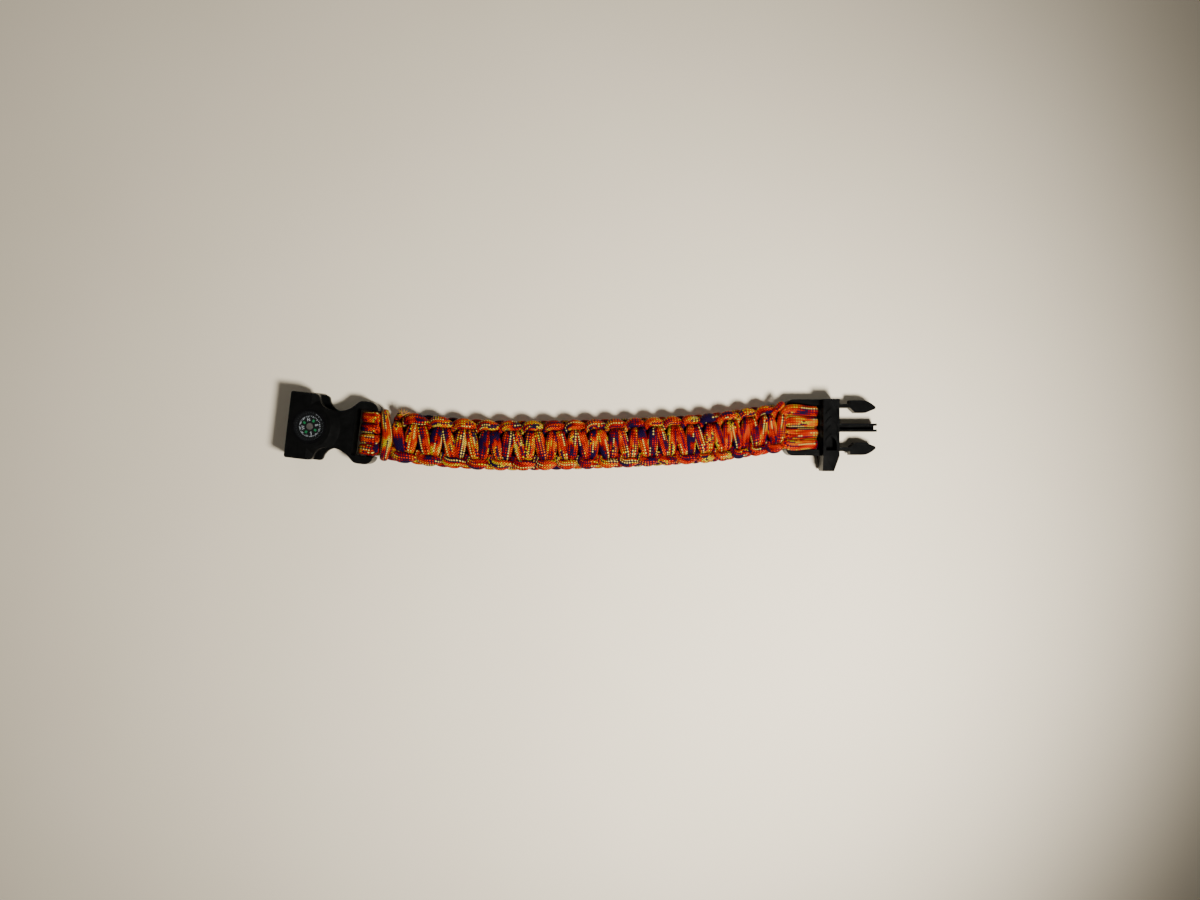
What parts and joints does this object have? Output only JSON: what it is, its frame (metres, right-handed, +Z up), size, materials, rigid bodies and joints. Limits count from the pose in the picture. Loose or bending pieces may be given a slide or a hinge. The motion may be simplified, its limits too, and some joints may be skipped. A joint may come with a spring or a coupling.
{
  "type": "paracord bracelet",
  "caption": "Woven paracord bracelet lying open, with a side-release buckle that has a compass on its socket half and a whistle in its plug half.",
  "frame": {"origin": "under the middle of the box that the open bracelet fills, on the surface that it lies on", "axes": "X runs along the open band from the socket half to the plug half, Y across it, Z up"},
  "size_m": [0.2349, 0.0317, 0.0111],
  "materials": {
    "buckle_plastic": "satin black moulded plastic",
    "capsule_plastic": "glossy black plastic",
    "card_plastic": "black printed card",
    "clear_lens": "clear",
    "paracord": "braided nylon sheath, orange and red with yellow, navy and purple flecks"
  },
  "bodies": {
    "bracelet": {"socket_body": "buckle_plastic", "compass_housing": "capsule_plastic", "compass_lens": "clear_lens", "plug_body": "buckle_plastic", "core_cord_1": "paracord", "core_cord_2": "paracord", "core_cord_3": "paracord", "core_cord_4": "paracord", "weave_cord_front": "paracord", "weave_cord_back": "paracord"},
    "compass_card": {"compass_card": "card_plastic"}
  },
  "joints": [
    {"name": "compass_card_turn", "type": "hinge", "parent": "bracelet", "child": "compass_card", "pos_m": [-0.10757, 0.00183, 0.0092], "axis": [0, 0, 1], "continuous": true}
  ]
}
